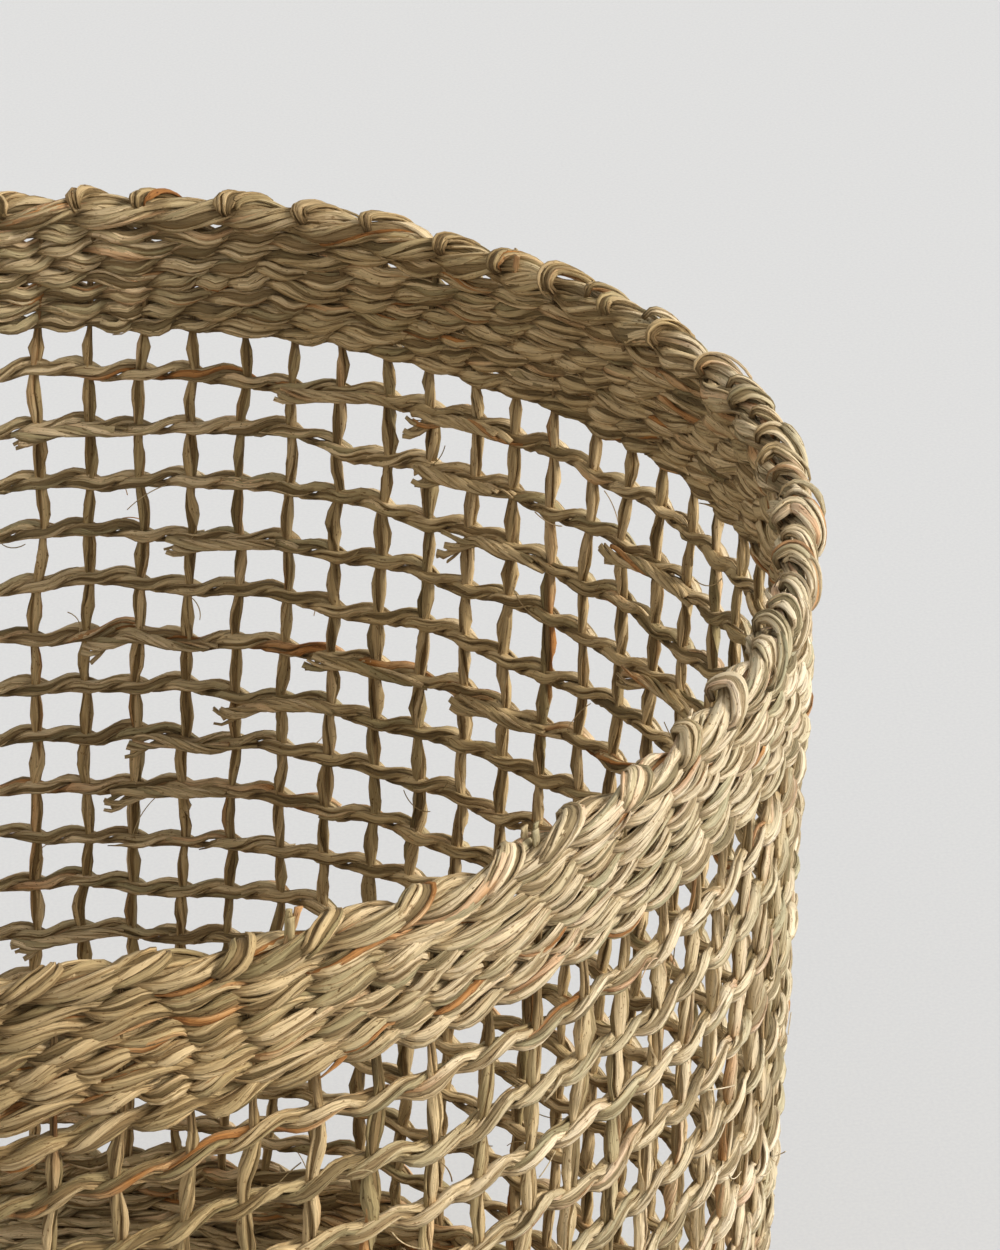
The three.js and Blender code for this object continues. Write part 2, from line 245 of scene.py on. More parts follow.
class Piece:
    """Blades of grass that become one mesh."""

    def __init__(self, name, node, slot):
        self.name, self.node, self.slot = name, node, slot
        self.dull = 0.0
        self.points, self.faces, self.tones, self.edges = [], [], [], []
        self.runs, self.girths, self.starts = [], [], []
        self.count = 0
        self.length = 0.0

    def blade(self, path, normal, half_width, half_thickness, roll=0.0, tone=None, fold=PLAIN_FOLD,
              core=False, tucked=0.0):
        """One blade along a path.

        roll turns its flat side about the path, and fold bends that side into a shallow gutter.
        tucked is 1 deep in the weave, where the blade is darkened all round as painted shade.
        """
        n = len(path)
        half_width = np.broadcast_to(half_width, n)
        if not core:
            noise = np.clip(rng.normal(size=n), -MOST_NOISE, MOST_NOISE)
            half_width = half_width * (1 + WIDTH_NOISE * noise)
        half_thickness = np.broadcast_to(half_thickness, n)
        roll = np.broadcast_to(roll, n)
        tangent = unit(np.gradient(path, axis=0))
        side = unit(np.cross(tangent, normal))
        normal = np.cross(side, tangent)
        cos, sin = np.cos(roll)[:, None], np.sin(roll)[:, None]
        wide = cos * side + sin * normal
        thin = cos * normal - sin * side
        turn = (np.arange(SECTION) + 0.5) * FULL_TURN / SECTION
        across = half_width[:, None] * np.cos(turn)
        through = half_thickness[:, None] * np.sin(turn)
        through = through - fold * half_width[:, None] * (np.cos(turn) ** 2 - 0.5)
        points = path[:, None] + across[..., None] * wide[:, None]
        points = points + through[..., None] * thin[:, None]
        tone = rng.uniform() if tone is None else tone
        # Bleaching and painted shade by place round the wall, plus the piece's own dullness
        age_and_shade = np.minimum(bleach_and_shade_at(points) + self.dull, MOST_AGE_AND_SHADE)
        # Deep in the weave a blade gets the dark of its edges all round: painted shade.
        hidden = np.broadcast_to(tucked, n)[:, None]
        hidden = np.where(hidden > LEAST_TUCKED, TUCKED_EDGE + TUCKED_MORE * hidden, 0.0)
        # Edge is 1 at a blade's two sides, where the material paints shade between blades
        edge = CORE_EDGE if core else np.abs(np.cos(turn))
        self.edges.append(np.maximum(edge, hidden + np.zeros(SECTION)).ravel())
        run = np.concatenate([[0], np.cumsum(np.linalg.norm(np.diff(path, axis=0), axis=1))])
        corner = self.count + np.arange(n * SECTION).reshape(n, SECTION)
        following = np.roll(corner, -1, axis=1)
        quads = np.stack([corner[:-1], corner[1:], following[1:], following[:-1]], -1)
        first, last = corner[0], corner[-1]
        caps = [first[[0, 1, 2, 3]], first[[0, 3, 4, 5]], last[[3, 2, 1, 0]], last[[5, 4, 3, 0]]]
        self.points.append(placed(points).reshape(-1, 3))
        self.faces.append((quads.reshape(-1, 4), np.array(caps), n))
        own = rng.uniform()
        colour = np.stack([np.full(age_and_shade.shape, tone), age_and_shade, np.full(age_and_shade.shape, own)], -1)
        self.tones.append(colour.reshape(-1, 3))
        self.runs.append(run)
        self.starts.append(self.length)
        self.length += run[-1] + MAP_GAP
        self.girths.append(4.0 * float(half_width.mean() + half_thickness.mean()))
        self.count += n * SECTION

    def finish(self):
        """Make the mesh and put it in the frame."""
        points = np.concatenate(self.points)
        quads, fibre, atlas = self.laid_out()
        mesh = bpy.data.meshes.new(self.name)
        mesh.vertices.add(len(points))
        mesh.vertices.foreach_set("co", points.astype(np.float32).ravel())
        mesh.loops.add(quads.size)
        mesh.loops.foreach_set("vertex_index", quads.astype(np.int32).ravel())
        mesh.polygons.add(len(quads))
        mesh.polygons.foreach_set("loop_start", np.arange(0, quads.size, 4, dtype=np.int32))
        mesh.polygons.foreach_set("use_smooth", np.ones(len(quads), bool))
        mesh.update(calc_edges=True)
        for layer, places in (("Fibre", fibre), ("OFBake", atlas)):
            uv = mesh.uv_layers.new(name=layer).uv
            uv.foreach_set("vector", places.astype(np.float32).ravel())
        tone = mesh.attributes.new("Tone", "FLOAT_VECTOR", "POINT")
        tone.data.foreach_set("vector", np.concatenate(self.tones).astype(np.float32).ravel())
        edge = mesh.attributes.new("Edge", "FLOAT", "POINT")
        edge.data.foreach_set("value", np.concatenate(self.edges).astype(np.float32))
        mesh.materials.append(seagrass)
        piece = bpy.data.objects.new(self.name, mesh)
        bpy.context.scene.collection.objects.link(piece)
        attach(piece, "root")
        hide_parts(self.node)

    def laid_out(self):
        """Faces, with their places along and round each blade in cm, and on one flat map."""
        lanes = max(1, round(math.sqrt(self.length / (sum(self.girths) / len(self.girths)))))
        lane_length = self.length / lanes + 0.01
        longest = max(float(np.diff(run).max()) for run in self.runs)
        lane = 1 / lanes
        map_length = lane_length + longest
        quads, fibre, atlas = [], [], []
        for (sides, caps, n), run, start, girth in zip(
                self.faces, self.runs, self.starts, self.girths):
            row = np.repeat(np.arange(n - 1), SECTION)
            column = np.tile(np.arange(SECTION), n - 1)
            along = np.stack([run[row], run[row + 1], run[row + 1], run[row]], -1)
            turn = np.stack([column, column, column + 1, column + 1], -1) / SECTION
            which = np.floor((start + run[row]) / lane_length)[:, None]
            u = (start + along - which * lane_length) / map_length
            v = (which + SIDES_FROM + SIDES_SHARE * turn) * lane
            quads.append(sides)
            fibre.append(np.stack([along / 10, turn * girth / 10], -1))
            atlas.append(np.stack([u, v], -1))
            for cap, at, slip in zip(caps, (0, 0, -1, -1), CAP_SLIPS):
                here = start + run[at] + slip
                which = math.floor((start + run[0 if at == 0 else n - 2]) / lane_length)
                u = max((here - which * lane_length) / map_length, 0)
                width = CAP_WIDTH / map_length
                low, high = (which + CAPS_FROM) * lane, (which + CAPS_TO) * lane
                quads.append(cap[None])
                fibre.append(np.full((1, 4, 2), [run[at] / 10, 0.05]))
                atlas.append(np.array([[[u, low], [u + width, low], [u + width, high], [u, high]]]))
        return np.concatenate(quads), np.concatenate(fibre), np.concatenate(atlas)


def blade_tone():
    """Mostly straw, with some green-grey, pinkish and orange blades."""
    if rng.uniform() < 0.03:
        return rng.uniform(0.88, 1.0)
    return float(np.clip(rng.normal(0.46, 0.2), 0.02, 0.84))


def cuts(start, length, lengths, closed):
    """Where one blade ends and the next begins along a strand."""
    if not closed:
        return [(start, start + length)]
    count = max(3, round(length / rng.uniform(*lengths)))
    share = 1 + 0.3 * rng.uniform(-1, 1, count)
    ends = np.concatenate([[0], np.cumsum(share / share.sum())])
    marks = start + rng.uniform(0, length) + length * ends
    return list(zip(marks[:-1], marks[1:]))


CORE_LENGTHS = (300, 420)


def strand(piece, run, start, length, step, slots, spread, blade, twist=0.0,
           lengths=(170, 360), loose=0.3, closed=True, splice=9.0, girth=lambda places: 1.0):
    """A bundle of blades along a run round a core that is painted dark as the shade between blades.
    Blades taper where they meet end to end, and are darkened as painted shade where the run's size
    is small, as where it goes under.

    run gives the middle line, its outward side and a size for each place along it. spread is how
    far blades stand from the middle across and through, and blade is half a blade's size.
    loose is the share of blade ends that stand off. girth makes the strand stouter or slimmer
    along its way. piece may be a function that picks the piece for a place.
    """
    pick = piece if callable(piece) else lambda place: piece
    lap = splice if closed else 0.0
    tip, end_lift = 0.35, 0.35
    first = rng.uniform(0, FULL_TURN)
    for slot in range(slots):
        turn = drift(90, 0.5)
        rock = drift(22, 0.3)
        swell = drift(26, 0.16)
        for low, high in cuts(start, length, lengths, closed):
            low, high = low - lap / 2, high + lap / 2
            places = np.linspace(low, high, max(4, int((high - low) / step) + 1))
            middle, normal, size = run(places)
            tangent = unit(np.gradient(middle, axis=0))
            side = unit(np.cross(tangent, normal))
            through = np.cross(side, tangent)
            angle = first + FULL_TURN * slot / slots + twist * places + turn(places)
            from_end = np.minimum(places - low, high - places)
            taper = tip + 0.65 * smooth(from_end, 0, splice)
            stand = rng.uniform(0.88, 1.12)
            stout = size * girth(places)
            across = spread[0] * stout * stand
            deep = spread[1] * np.sqrt(stout) * stand
            path = middle + side * (across * np.cos(angle))[:, None]
            path += through * (deep * np.sin(angle))[:, None]
            wrap = np.unwrap(np.arctan2(deep * np.cos(angle), -across * np.sin(angle)))
            for begin in (True, False):
                past = places - low if begin else high - places
                if closed:
                    off = end_lift if begin else -end_lift
                    path = path + through * off * (1 - smooth(past, 0, splice))[:, None]
                if rng.uniform() < loose:
                    lift = rng.uniform(0.6, 2.4) * (1 - smooth(past, 0, 14)) * either_way()
                    path = path + through * lift[:, None]
            grow = (1 + swell(places)) * rng.uniform(0.75, 1.25)
            pick((low + high) / 2).blade(
                path, through, blade[0] * stout * taper * grow, blade[1] * taper,
                roll=wrap + rock(places), tone=blade_tone(), fold=rng.uniform(-0.05, 0.3),
                tucked=0.85 * smooth(1 - size, 0.1, 0.6))
    for low, high in cuts(start, length, CORE_LENGTHS, closed):
        count = int((high - low) / (step * 1.3)) + 2
        places = np.linspace(low - lap / 4, high + lap / 4, count)
        middle, normal, size = run(places)
        tangent = unit(np.gradient(middle, axis=0))
        through = np.cross(unit(np.cross(tangent, normal)), tangent)
        stout = size * girth(places)
        # The core is painted as dark as the shade between blades.
        pick((low + high) / 2).blade(
            middle, through, spread[0] * stout, spread[1] * np.sqrt(stout),
            tone=rng.uniform(0.1, 0.4), fold=0.0, core=True,
            tucked=0.4 + 0.5 * smooth(1 - size, 0.1, 0.6))


# Rows of twined strands

def row_run(height, phase, wave, shift, reach, inner, slant, pull, pinch, pitches, plump):
    """Middle line of one strand of a twined row: outside one stake, inside the next.

    reach is how far it stands from the stakes' middle outside, and inner its share of that inside.
    slant is its rise and fall, pull its slope on the inside, and pinch its loss of size where it
    goes under. With plump at 1 it is straighter and slimmer at some places round the wall.
    """
    outer_pull = 0.35

    def run(places):
        angle = places / WALL_RADIUS
        straight = plump * hump(angle, *STRAIGHT_STRANDS)
        slim = plump * hump(angle, *SLIM_STRANDS)
        turn = math.pi * (angle / STAKE_ANGLE - STAKE_PHASE) / pitches + phase + shift(angle)
        cos, sin = np.cos(turn), np.sin(turn)
        outside = cos > 0
        slope = np.where(outside, outer_pull, pull - 0.9 * straight)
        rise = slant * (1 + 0.3 * slim) * sin + np.sin(2 * turn) * slope
        stand = reach * np.where(outside, 1.0, inner - 0.6 * straight) * cos
        radius = wall_radius(angle, height) + stand
        under = 1 - np.abs(cos) ** 0.7
        size = 1 - (pinch - 0.15 * slim) * under * (1 - 0.5 * sin)
        return around(angle, radius, height + rise + wave(angle)), outward(angle), size

    return run


def twined_row(name, node, slot, height, wave, slots, spread, blade, step,
               shift=lambda angle: 0.0, pitches=1, plump=0, **weave):
    """A ring of two strands that twist between the stakes."""
    piece = Piece(name, node, slot)

    def girth(places):
        return 1 + plump * (0.25 - 0.42 * hump(places / WALL_RADIUS, *SLIM_STRANDS))

    for phase in (0, math.pi):
        run = row_run(height, phase, wave, shift, pitches=pitches, plump=plump, **weave)
        strand(piece, run, 0.0, FULL_TURN * WALL_RADIUS, step, slots, spread, blade,
               twist=either_way() * FULL_TURN / rng.uniform(70, 120), girth=girth)
    return piece


def stray_shift(size):
    """Where a dense row's strands cross, which isn't over the same stakes all the way."""
    stray = wander(4, 30, size)
    first = rng.uniform(0, math.pi)
    return lambda angle: stray(angle) - first


# Materials

def linear(red, green, blue):
    """Linear colour of one given as 0 to 255."""
    parts = [c / 255 for c in (red, green, blue)]
    return [c / 12.92 if c <= 0.04045 else ((c + 0.055) / 1.055) ** 2.4 for c in parts] + [1.0]


class Nodes:
    """Adds nodes to a material or world and links them."""

    MIX_INPUTS, MIX_RESULT = (0, 6, 7), 2  # factor and two colours of a Mix node, and its colour

    def __init__(self, owner):
        owner.use_nodes = True
        self.tree = owner.node_tree
        self.tree.nodes.clear()

    def fill(self, socket, value):
        """Link another node's output to a socket, or set its value."""
        if isinstance(value, bpy.types.NodeSocket):
            self.tree.links.new(value, socket)
        else:
            socket.default_value = value

    def add(self, kind, inputs=None, **settings):
        node = self.tree.nodes.new(kind)
        for name, value in settings.items():
            setattr(node, name, value)
        for name, value in (inputs or {}).items():
            self.fill(node.inputs[name], value)
        return node

    def ramp(self, factor, stops):
        node = self.add("ShaderNodeValToRGB", {"Fac": factor})
        elements = node.color_ramp.elements
        while len(elements) < len(stops):
            elements.new(0.5)
        for element, (position, colour) in zip(elements, stops):
            element.position = position
            element.color = colour
        return node.outputs["Color"]

    def mix(self, kind, factor, first, second):
        node = self.add("ShaderNodeMix", data_type="RGBA", blend_type=kind, clamp_factor=True)
        for index, value in zip(self.MIX_INPUTS, (factor, first, second)):
            self.fill(node.inputs[index], value)
        return node.outputs[self.MIX_RESULT]

    def maths(self, operation, *values, clamp=False):
        node = self.add("ShaderNodeMath", operation=operation, use_clamp=clamp)
        for index, value in enumerate(values):
            self.fill(node.inputs[index], value)
        return node.outputs[0]

    def vector(self, operation, first, second):
        node = self.add("ShaderNodeVectorMath", {0: first, 1: second}, operation=operation)
        return node.outputs[0]

    def seen(self):
        """1 for what the camera sees, itself or in a reflection or through glass."""
        path = self.add("ShaderNodeLightPath")
        direct = self.maths("MAXIMUM", path.outputs["Is Camera Ray"], path.outputs["Is Glossy Ray"])
        return self.maths("MAXIMUM", direct, path.outputs["Is Transmission Ray"])


def seagrass_material():
    """Dried blades with long fibres, darker veins and flecks, painted shade along the blades' edges
    and a painted highlight just inside them.
    """
    material = bpy.data.materials.new("dried_seagrass")
    nodes = Nodes(material)
    tone = nodes.add("ShaderNodeAttribute", attribute_name="Tone")
    parts = nodes.add("ShaderNodeSeparateXYZ", {"Vector": tone.outputs["Vector"]})
    blade, age_and_shade, own = (parts.outputs[i] for i in range(3))
    place = nodes.add("ShaderNodeUVMap", uv_map="Fibre").outputs["UV"]
    depth = nodes.add("ShaderNodeCombineXYZ", {"Z": nodes.maths("MULTIPLY", own, 40.0)}).outputs[0]

    def grain(along, across, **inputs):
        """Noise with so many waves a centimetre along and across a blade, its own on each blade."""
        stretched = nodes.vector("MULTIPLY", place, (along, across, 0.0))
        shifted = nodes.vector("ADD", stretched, depth)
        noise = nodes.add("ShaderNodeTexNoise", {"Vector": shifted, "Scale": 1.0, **inputs})
        return noise.outputs["Fac"]

    fibre = grain(0.9, 26.0, Detail=3.0, Roughness=0.6)
    patch = grain(0.35, 1.6, Detail=2.0)
    fleck = grain(6.0, 16.0, Detail=2.0, Roughness=0.7)
    vein = grain(0.7, 11.0, Detail=3.0, Roughness=0.65)
    edge = nodes.add("ShaderNodeAttribute", attribute_name="Edge").outputs["Fac"]
    edge = nodes.maths("ABSOLUTE", edge)

    uneven = nodes.maths("SUBTRACT", patch, 0.5)
    changed = nodes.maths("MULTIPLY_ADD", uneven, 0.8, blade, clamp=True)
    bleached = nodes.ramp(changed, [
        (0.0, linear(193, 186, 152)),
        (0.25, linear(219, 207, 173)),
        (0.5, linear(240, 223, 190)),
        (0.72, linear(251, 237, 209)),
        (0.88, linear(235, 205, 175)),
        (1.0, linear(206, 154, 100)),
    ])
    brown = nodes.ramp(changed, [
        (0.0, linear(166, 148, 104)),
        (0.4, linear(206, 179, 130)),
        (0.75, linear(233, 206, 158)),
        (0.9, linear(211, 166, 113)),
        (1.0, linear(184, 126, 66)),
    ])
    # Browner where the grass is less bleached, and where painted shade is laid inside the wall and
    # on the shaded side outside.
    colour = nodes.mix("MIX", age_and_shade, bleached, brown)
    # Past 1, painted shade darkens the colour further.
    shade_past_brown = nodes.maths("SUBTRACT", age_and_shade, 1.0, clamp=True)
    colour = nodes.mix("MULTIPLY", shade_past_brown, colour, (0.5, 0.45, 0.4, 1))
    for factor, stops in (
        (fibre, [(0.3, (0.5, 0.46, 0.4, 1)),
                 (0.47, (0.9, 0.89, 0.87, 1)),
                 (0.7, (1.08, 1.08, 1.07, 1))]),
        (vein, [(0.28, (0.5, 0.44, 0.36, 1)),
                (0.42, (0.9, 0.88, 0.85, 1)),
                (0.62, (1.1, 1.09, 1.08, 1))]),
        (fleck, [(0.3, (0.42, 0.33, 0.24, 1)),
                 (0.38, (1, 1, 1, 1))]),
        # Painted shade along blade edges, on cores and deep in the weave, with a painted highlight
        # just inside the edges
        (edge, [(0.74, (1, 1, 1, 1)),
                (0.81, (1.05, 1.05, 1.04, 1)),
                (0.866, (0.74, 0.69, 0.62, 1)),
                (1.0, (0.26, 0.21, 0.15, 1))]),
    ):
        colour = nodes.mix("MULTIPLY", 1.0, colour, nodes.ramp(factor, stops))
    rough = nodes.maths("MULTIPLY_ADD", fibre, 0.25, 0.6)
    relief = nodes.maths("MULTIPLY_ADD", vein, 1.5, fibre)
    bump = nodes.add("ShaderNodeBump", {"Height": relief, "Strength": 0.8, "Distance": 0.0006})
    shader = nodes.add("ShaderNodeBsdfPrincipled", {
        "Base Color": colour,
        "Roughness": rough,
        "Specular IOR Level": 0.28,
        "Normal": bump.outputs["Normal"],
    })
    nodes.add("ShaderNodeOutputMaterial", {"Surface": shader.outputs["BSDF"]})
    return material


def floor_material():
    """A pale, slightly grainy floor, a little of which shows as a backdrop does."""
    material = bpy.data.materials.new("pale_floor")
    nodes = Nodes(material)
    place = nodes.add("ShaderNodeTexCoord").outputs["Object"]
    noise = nodes.add("ShaderNodeTexNoise", {"Vector": place, "Scale": 900.0, "Detail": 2.0})
    colour = nodes.ramp(noise.outputs["Fac"], [
        (0.3, linear(210, 210, 210)),
        (0.7, linear(215, 215, 214)),
    ])
    shader = nodes.add("ShaderNodeBsdfPrincipled", {
        "Base Color": colour, "Roughness": 0.9, "Specular IOR Level": 0.1})
    backdrop = nodes.add("ShaderNodeEmission", {"Color": colour, "Strength": 1.0})
    mixed = nodes.add("ShaderNodeMixShader", {
        "Fac": nodes.maths("MULTIPLY", nodes.seen(), 0.1),
        1: shader.outputs["BSDF"],
        2: backdrop.outputs["Emission"],
    })
    nodes.add("ShaderNodeOutputMaterial", {"Surface": mixed.outputs["Shader"]})
    return material


seagrass = seagrass_material()
pieces = []

# Rim band. Its lowest row hangs lower at the front, as a short extra row does in the photograph.
LONG_CROSSINGS = 2  # rows at the top whose strands cross over more than one stake
for row in range(RIM_ROWS):
    number = f"{row + 1:02d}"
    own = wander(9, 60, 0.3)
    share = (row + 1) / RIM_ROWS
    gap = -1.0 if row == RIM_ROWS - 1 else 4.0 * share
    wave = lambda angle, own=own, share=share, gap=gap: (
        own(angle) + rim_wave(angle) + share * front_rise(angle) + gap * hump(angle, *LOW_FRONT))
    pieces.append(twined_row(
        f"rim_row_weave_{number}", f"rim_row_{number}", "rim_weave",
        RIM_BAND_TOP - (row + 0.5) * RIM_ROW_PITCH, wave, shift=stray_shift(0.45),
        reach=1.8, inner=1.0, slant=1.0, pull=1.1, pinch=0.57,
        slots=6, spread=(1.5, 1.15), blade=(0.9, 0.38), step=1.8,
        pitches=1.2 if row < LONG_CROSSINGS else 1, plump=1))

# Open rows
open_waves, open_pieces = [], []
for row, height in enumerate(open_row_heights):
    number = f"{row + 1:02d}"
    own = wander(4, 40, 0.8)
    wave = lambda angle, own=own, share=1 - row / OPEN_ROWS: own(angle) + share * front_rise(angle)
    open_waves.append(wave)
    open_pieces.append(twined_row(
        f"open_row_weave_{number}", f"open_row_{number}", "open_weave", height, wave,
        reach=1.4, inner=0.65, slant=1.35, pull=0.9, pinch=0.5,
        slots=4, spread=(1.3, 1.05), blade=(1.1, 0.4), step=1.8))
pieces += open_pieces

# Dense foot. Its lowest row lies flat on the floor.
for row in range(FOOT_ROWS):
    number = f"{row + 1:02d}"
    wave = wander(9, 40, 0.12 + 0.1 * row)
    pieces.append(twined_row(
        f"foot_row_weave_{number}", f"foot_row_{number}", "foot_weave",
        (row + 0.5) * FOOT_ROW_PITCH, wave, shift=stray_shift(0.3),
        reach=2.0, inner=1.0, slant=1.6 if row else 0.5, pull=0.8 if row else 0.1, pinch=0.4,
        slots=4, spread=(1.8, 1.1), blade=(1.3, 0.42), step=2.6))


# Stakes, and the border that their ends make along the rim

def stake_run(index):
    """Middle line of a stake, a run of heights. It bulges between the open rows that grip it."""
    angle = (index + STAKE_PHASE) * STAKE_ANGLE
    sway = drift(70, 0.5)
    kink = drift(24, 0.25)
    stout = rng.uniform(0.92, 1.25)

    def run(height):
        rows = [level + wave(angle) for level, wave in zip(open_row_heights, open_waves)]
        nearest = np.min(np.abs(np.subtract.outer(height, rows)), axis=1)
        above_foot = smooth(height, FOOT_TOP, FOOT_TOP + 8)
        open_wall = above_foot * (1 - smooth(height, RIM_BAND_BOTTOM - 6, RIM_BAND_BOTTOM))
        bulge = smooth(nearest, 1, OPEN_ROW_PITCH / 2) * open_wall
        in_band = smooth(height, RIM_BAND_BOTTOM - 4, RIM_BAND_BOTTOM + 2)
        size = stout * (0.74 + 0.4 * bulge) * (1 - 0.35 * in_band)
        at = angle + (sway(height) + kink(height)) / WALL_RADIUS
        return around(at, wall_radius(at, height), height), outward(at), size

    return run


def loop_turn(angle):
    """Half turns along the border, with a whole number at each loop."""
    return (angle / STAKE_ANGLE - STAKE_PHASE + 0.5 - LOOP_PHASE) / STAKES_PER_LOOP


def border_run(phase):
    """Middle line of one of the two thick strands that the folded stake ends make along the rim."""
    shift = drift(60, 0.3)
    sink, out, up = 0.9, 2.4, 1.6

    def run(places):
        angle = places / WALL_RADIUS
        turn = math.pi * (loop_turn(angle) + 0.5) + phase
        cos, sin = np.cos(turn), np.sin(turn)
        radius = wall_radius(angle, ROLL_HEIGHT) + out * cos + shift(places)
        z = ROLL_HEIGHT - sink + up * sin + rim_wave(angle) + shift(places)
        size = 0.46 + 0.5 * np.abs(cos) ** 0.7
        return around(angle, radius, z), outward(angle), size

    return run


def knot(piece, angle, bow, tail, reach, blades, width, low, high):
    """A stake's end that curls over the rim, bowed on the crest, its outer end laid back along it.

    It goes from low to high, in radians up from the outside, at reach from the border's middle.
    """
    length = reach * (high - low)
    own = drift(9, 0.3)
    end_size, end_sink, flatter, sink = 0.55, 2.2, 0.94, 0.4

    def run(places):
        t = low + places / reach
        from_end = np.minimum(places, length - places)
        size = 1 - end_size * (1 - smooth(from_end, 0, 5))
        laid_back = tail * smooth(1 - t / math.pi, 0.4, 1.15)
        at = angle + (bow * np.sin(t) - laid_back + own(places)) / WALL_RADIUS
        away = reach - end_sink * (1 - smooth(from_end, 0, 2.4))
        radius = wall_radius(at, ROLL_HEIGHT) + away * np.cos(t)
        z = ROLL_HEIGHT + rim_wave(at) + flatter * away * np.sin(t) - sink
        normal = outward(at) * np.cos(t)[:, None]
        normal[:, 2] += np.sin(t)
        return around(at, radius, z), normal, size

    strand(piece, run, 0.0, length, step=0.9,
           slots=blades, spread=(width / 2, 0.95), blade=(width / blades * 1.35, 0.36),
           twist=rng.uniform(-0.05, 0.05), closed=False, loose=0.12, splice=3.0)


groups = []
for group in range(GROUPS):
    number = f"{group + 1:02d}"
    groups.append(Piece(
        f"stakes_and_border_weave_{number}", f"stakes_and_border_{number}", "stakes"))


def group_at(place):
    """The group of stakes whose stretch of the rim holds a place."""
    stake = place / STAKE_PITCH - STAKE_PHASE + 0.5
    return groups[int(stake // STAKES_PER_GROUP) % GROUPS]


def fray(angle, height, drop, blades=6, length=34):
    """Cut ends of a new bundle that starts on the inside of an open row and joins it."""
    row = int(np.argmin(np.abs(np.array(open_row_heights) - height)))
    start = math.radians(angle)
    twist = rng.uniform(20, 32)
    for i in range(blades):
        run = np.linspace(rng.uniform(0, 4), length * rng.uniform(0.8, 1.1), 16)
        at = start - run / WALL_RADIUS
        free = 1 - smooth(run, 2, 14)
        turn = FULL_TURN * (i / blades + run / twist)
        joined = smooth(run, length - 14, length)
        radius = wall_radius(at, height) - 3.4 - 1.2 * free + 1.1 * np.cos(turn) + 1.6 * joined
        level = open_row_heights[row] + open_waves[row](at) + (0.9 + 1.1 * free) * np.sin(turn)
        level = level - drop * free * rng.uniform(0.2, 1.0)
        open_pieces[row].blade(
            around(at, radius, level), outward(at), rng.uniform(0.6, 1.1), THIN_BLADE,
            roll=rng.uniform(-1, 1) + 0.05 * run, tone=blade_tone())


for degrees, height, drop in (
    (156.8, 268, 0), (144.2, 283, 4), (143.8, 251, 3), (140.5, 244, 8), (122, 258.5, 2),
    (165.8, 220.5, 1), (172.8, 188, 5), (153.2, 190, 0), (161, 173, 6), (138.5, 186.5, 2),
    (168.8, 167, 3), (179, 259.5, 1), (171, 143.5, 5), (119.5, 217.5, 2), (178.8, 106, 4),
    (205, 240, 2), (232, 150, 4), (251, 205, 1), (290, 228, 3), (315, 120, 2), (338, 190, 4),
    (88, 130, 3),
):
    fray(degrees, height, drop)


def hair(piece, angle, height, out, length, half_width=0.14):
    """A stray fibre."""
    run = np.linspace(0, length, 9)
    heading = rng.uniform(0, FULL_TURN) + rng.normal(0, 0.12) * run
    at = angle + np.cumsum(np.cos(heading)) * run[1] / WALL_RADIUS
    level = height + np.cumsum(np.sin(heading)) * run[1]
    radius = wall_radius(at, level) + out * (2.6 + 0.35 * run * rng.uniform(0.1, 1.0))
    piece.blade(around(at, radius, level), outward(at), half_width, half_width,
                tone=blade_tone(), fold=0.0)


HAIRS = 260
for _ in range(HAIRS):
    row = int(rng.integers(0, OPEN_ROWS))
    angle = rng.uniform(0, FULL_TURN)
    height = open_row_heights[row] + open_waves[row](angle)
    hair(open_pieces[row], angle, height, either_way(), rng.uniform(5, 14))

STAKE_BOTTOM, STAKE_DULL = 1.5, 0.35
for group, piece in enumerate(groups):
    piece.dull = STAKE_DULL
    for index in range(group * STAKES_PER_GROUP, (group + 1) * STAKES_PER_GROUP):
        strand(piece, stake_run(index), STAKE_BOTTOM, ROLL_HEIGHT - 4, step=3.0,
               slots=3, spread=(1.05, 0.8), blade=(1.05, 0.4),
               twist=FULL_TURN / rng.uniform(70, 150) * either_way(), closed=False, loose=0.0)
    piece.dull = 0.0

for phase in (0, math.pi):
    strand(group_at, border_run(phase), 0.0, FULL_TURN * WALL_RADIUS, step=2.1,
           slots=10, spread=(2.6, 1.9), blade=(1.1, 0.42),
           twist=FULL_TURN / 110, lengths=(65, 110), loose=0.4, splice=12)

# A curl at each loop, and more of them where the rim is curly
EXTRA_CURL_APART = 7
for i in range(GROUPS * LOOPS_PER_GROUP):
    stake = i * STAKES_PER_LOOP + LOOP_PHASE + STAKE_PHASE - 0.5 + rng.normal(0, 0.07)
    angle = stake * STAKE_ANGLE
    piece = group_at(angle * WALL_RADIUS)
    curly = hump(angle, *CURLY_RIM)
    behind = hump(angle, *DULL_RIM)
    piece.dull = rng.uniform(0.0, 0.35) + 0.45 * behind
    reach = 4.0 + rng.normal(0, 0.3) + 0.9 * max(curly, 0.6 * behind) * rng.uniform(0.4, 1.2)
    knot(piece, angle, bow=rng.uniform(1.0, 3.5), tail=rng.uniform(5, 12), reach=reach,
         blades=int(rng.integers(7, 9)), width=rng.uniform(3.6, 5.6),
         low=rng.uniform(-0.6, -0.2), high=rng.uniform(2.3, 3.2))
    if rng.uniform() < 1.3 * curly:
        knot(piece, angle + EXTRA_CURL_APART / WALL_RADIUS,
             bow=rng.uniform(2, 4), tail=rng.uniform(6, 12), reach=4.9 + rng.normal(0, 0.3),
             blades=6, width=rng.uniform(2.4, 3.6),
             low=rng.uniform(-0.5, 0.2), high=rng.uniform(1.8, 2.8))
    piece.dull = 0.0

